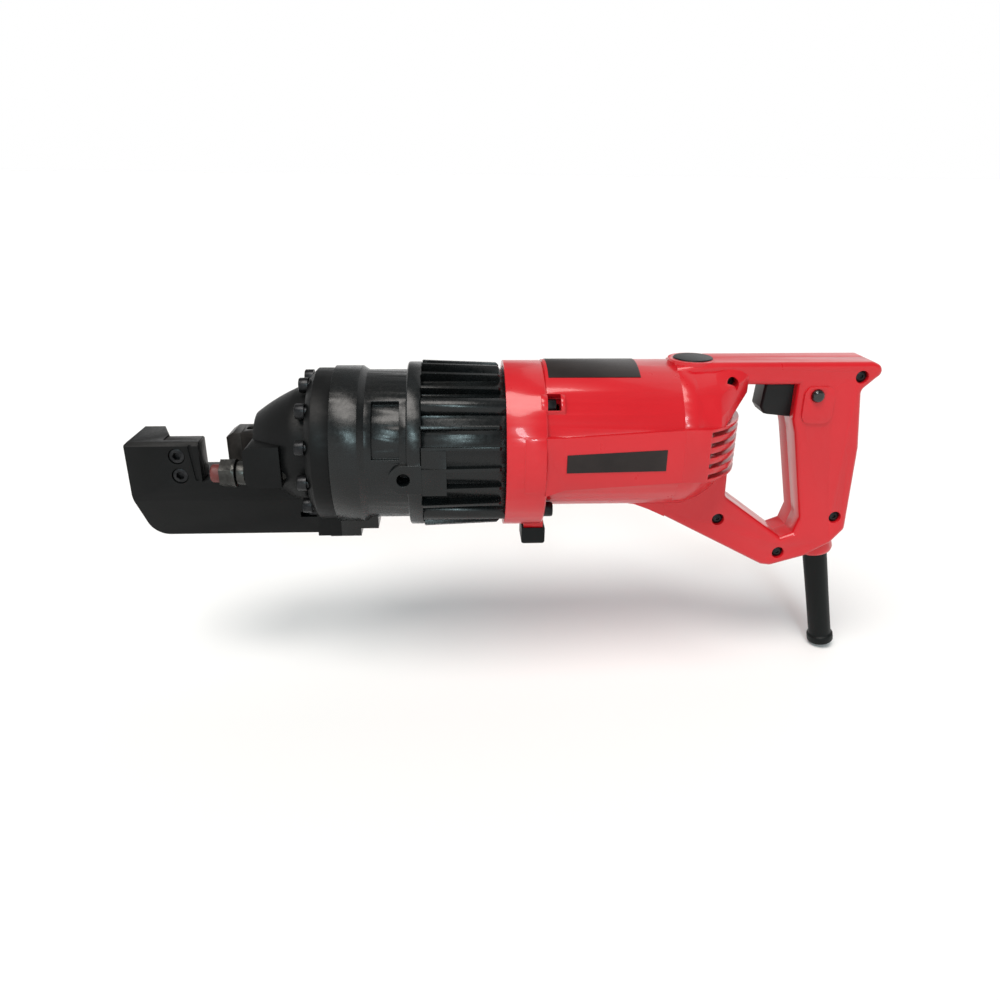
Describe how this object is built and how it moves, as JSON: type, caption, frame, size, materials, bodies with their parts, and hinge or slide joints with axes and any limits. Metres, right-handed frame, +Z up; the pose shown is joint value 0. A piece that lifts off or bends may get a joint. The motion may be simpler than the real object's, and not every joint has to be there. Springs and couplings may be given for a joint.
{
  "type": "rebar cutter",
  "caption": "Hand-held electric-hydraulic rebar cutter: C-shaped shear head and ram, finned pump, inline motor and a rear D-handle with trigger and cord guard.",
  "frame": {"origin": "on the ram's axis at the fixed cutter's shearing face, where the bar is cut", "axes": "+X along the tool from the jaw to the rear handle, +Y to the operator's right, +Z up"},
  "size_m": [0.5092, 0.1165, 0.2254],
  "materials": {
    "black_paint": "satin black enamel over cast steel",
    "tool_steel": "hardened tool steel, oiled",
    "black_screws": "black oxide",
    "zinc_steel": "zinc plated",
    "ground_steel": "ground",
    "red_plastic": "glossy moulded nylon",
    "black_plastic": "fine grained",
    "gloss_black": "smooth",
    "rubber": "matt",
    "bronze": "machined",
    "copper_wire": "enamelled copper",
    "brass": "machined",
    "carbon": "pressed carbon",
    "lamination": "stacked sheet",
    "aluminium": "die cast",
    "spring_steel": "oil tempered",
    "gasket": "nitrile",
    "wire_cover": "insulation"
  },
  "bodies": {
    "housing": {"cutter_head": "black_paint", "fixed_cutter": "tool_steel", "fixed_cutter_screws": "black_screws", "ram_bush": "tool_steel", "rod_seal": "gasket", "return_spring": "spring_steel", "head_bolts": "black_screws", "stopper_nut": "zinc_steel", "cylinder": "black_paint", "head_gasket": "gasket", "pump_case": "black_paint", "filler_plug": "zinc_steel", "pump_block": "aluminium", "pump_block_screws": "black_screws", "pump_plunger": "ground_steel", "valve_plug": "brass", "check_valve": "brass", "oil_bladder": "gasket", "eccentric_bush": "bronze", "main_bearing": "ground_steel", "intermediate_bushes": "bronze", "bearing_plate": "aluminium", "motor_bearings": "ground_steel", "bearing_bracket": "aluminium", "stator_core": "lamination", "field_coils": "copper_wire", "brush_holders": "brass", "carbon_brushes": "carbon", "motor_housing": "red_plastic", "base_foot": "rubber", "housing_screws": "black_screws", "nameplates": "gloss_black", "top_label": "gloss_black", "left_handle_shell": "red_plastic", "right_handle_shell": "red_plastic", "handle_screws": "black_screws", "top_cap": "black_plastic", "trigger_spring": "spring_steel", "switch_body": "black_plastic", "motor_leads": "wire_cover", "cord_clamp": "black_plastic", "cord_guard": "rubber"},
    "ram_body": {"ram": "ground_steel", "moving_cutter": "tool_steel", "moving_cutter_grub": "black_screws", "piston_seal": "gasket"},
    "stopper": {"stopper_bolt": "zinc_steel", "stopper_tip": "rubber"},
    "armature": {"armature_shaft": "ground_steel", "armature_core": "lamination", "armature_winding": "copper_wire", "commutator": "copper_wire", "cooling_fan": "black_plastic"},
    "intermediate": {"intermediate_shaft": "tool_steel", "first_gear": "tool_steel"},
    "eccentric": {"eccentric_shaft": "ground_steel", "eccentric_ring": "ground_steel", "output_gear": "tool_steel"},
    "trigger_body": {"trigger": "black_plastic"},
    "lock_body": {"lock_button": "gloss_black"}
  },
  "joints": [
    {"name": "ram_stroke", "type": "slide", "parent": "housing", "child": "ram_body", "axis": [-1, 0, 0], "range_m": [-0.01, 0.016], "deforming": ["return_spring"]},
    {"name": "stopper_screw", "type": "slide", "parent": "housing", "child": "stopper", "axis": [-1, 0, 0], "range_m": [0, 0.008]},
    {"name": "armature_spin", "type": "hinge", "parent": "housing", "child": "armature", "pos_m": [0.26, 0, 0.0072], "axis": [1, 0, 0], "continuous": true},
    {"name": "intermediate_spin", "type": "hinge", "parent": "housing", "child": "intermediate", "pos_m": [0.19, 0.02297, 0.00603], "axis": [1, 0, 0], "continuous": true},
    {"name": "eccentric_spin", "type": "hinge", "parent": "housing", "child": "eccentric", "pos_m": [0.17, 0, 0], "axis": [1, 0, 0], "continuous": true},
    {"name": "trigger_press", "type": "slide", "parent": "housing", "child": "trigger_body", "axis": [1, 0, 0], "range_m": [0, 0.006], "stiffness_N_per_m": 700, "springref_m": -0.004, "deforming": ["trigger_spring"]},
    {"name": "lock_press", "type": "slide", "parent": "housing", "child": "lock_body", "axis": [0, 1, 0], "range_m": [0, 0.003], "stiffness_N_per_m": 500, "springref_m": -0.003}
  ],
  "couplings": [
    {"joint": "intermediate_spin", "follows": "armature_spin", "ratio": -0.24324},
    {"joint": "eccentric_spin", "follows": "armature_spin", "ratio": 0.11227}
  ]
}
